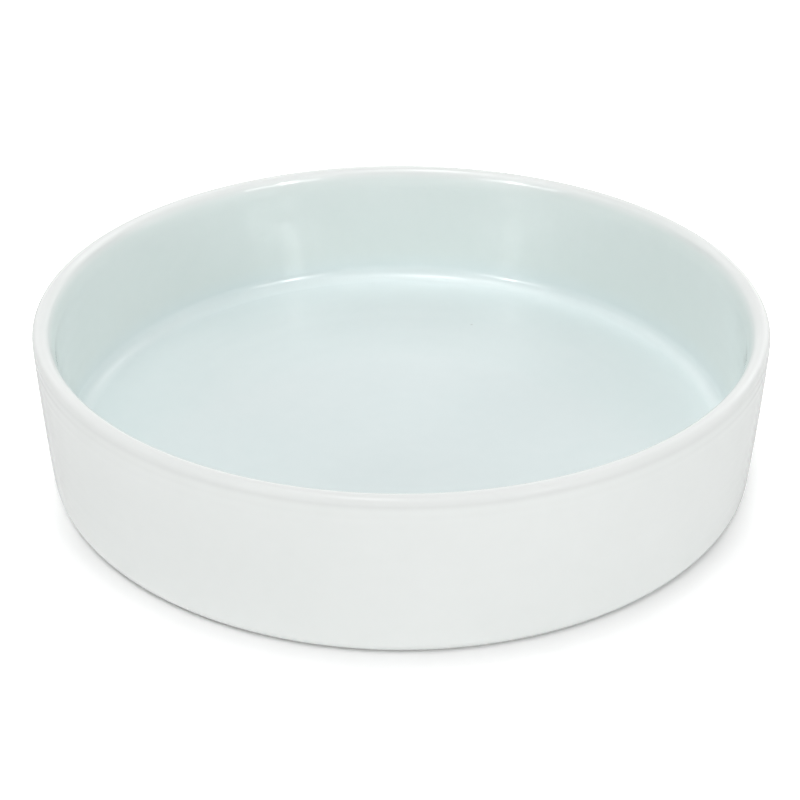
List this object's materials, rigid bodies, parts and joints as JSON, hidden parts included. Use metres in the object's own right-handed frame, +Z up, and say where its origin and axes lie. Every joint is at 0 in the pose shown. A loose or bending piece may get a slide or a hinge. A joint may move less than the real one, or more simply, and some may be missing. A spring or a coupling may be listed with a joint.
{
  "type": "evaporating dish",
  "caption": "Round flat-bottomed porcelain evaporating dish with a straight wall, a rounded lip, glaze inside and out, and a bare foot ring.",
  "frame": {"origin": "on the axis of the dish, at the plane that the foot ring rests on", "axes": "+Z up along the axis, out of the mouth of the dish; the dish is the same all the way round, so +X and +Y only complete the frame"},
  "size_m": [0.18, 0.18, 0.04],
  "materials": {
    "bare_porcelain": "matte, unglazed, fine grained",
    "glaze": "glossy, clear with a faint green cast"
  },
  "bodies": {
    "root": {"porcelain_body": "bare_porcelain", "inner_glaze": "glaze", "outer_glaze": "glaze", "base_glaze": "glaze"}
  },
  "joints": []
}
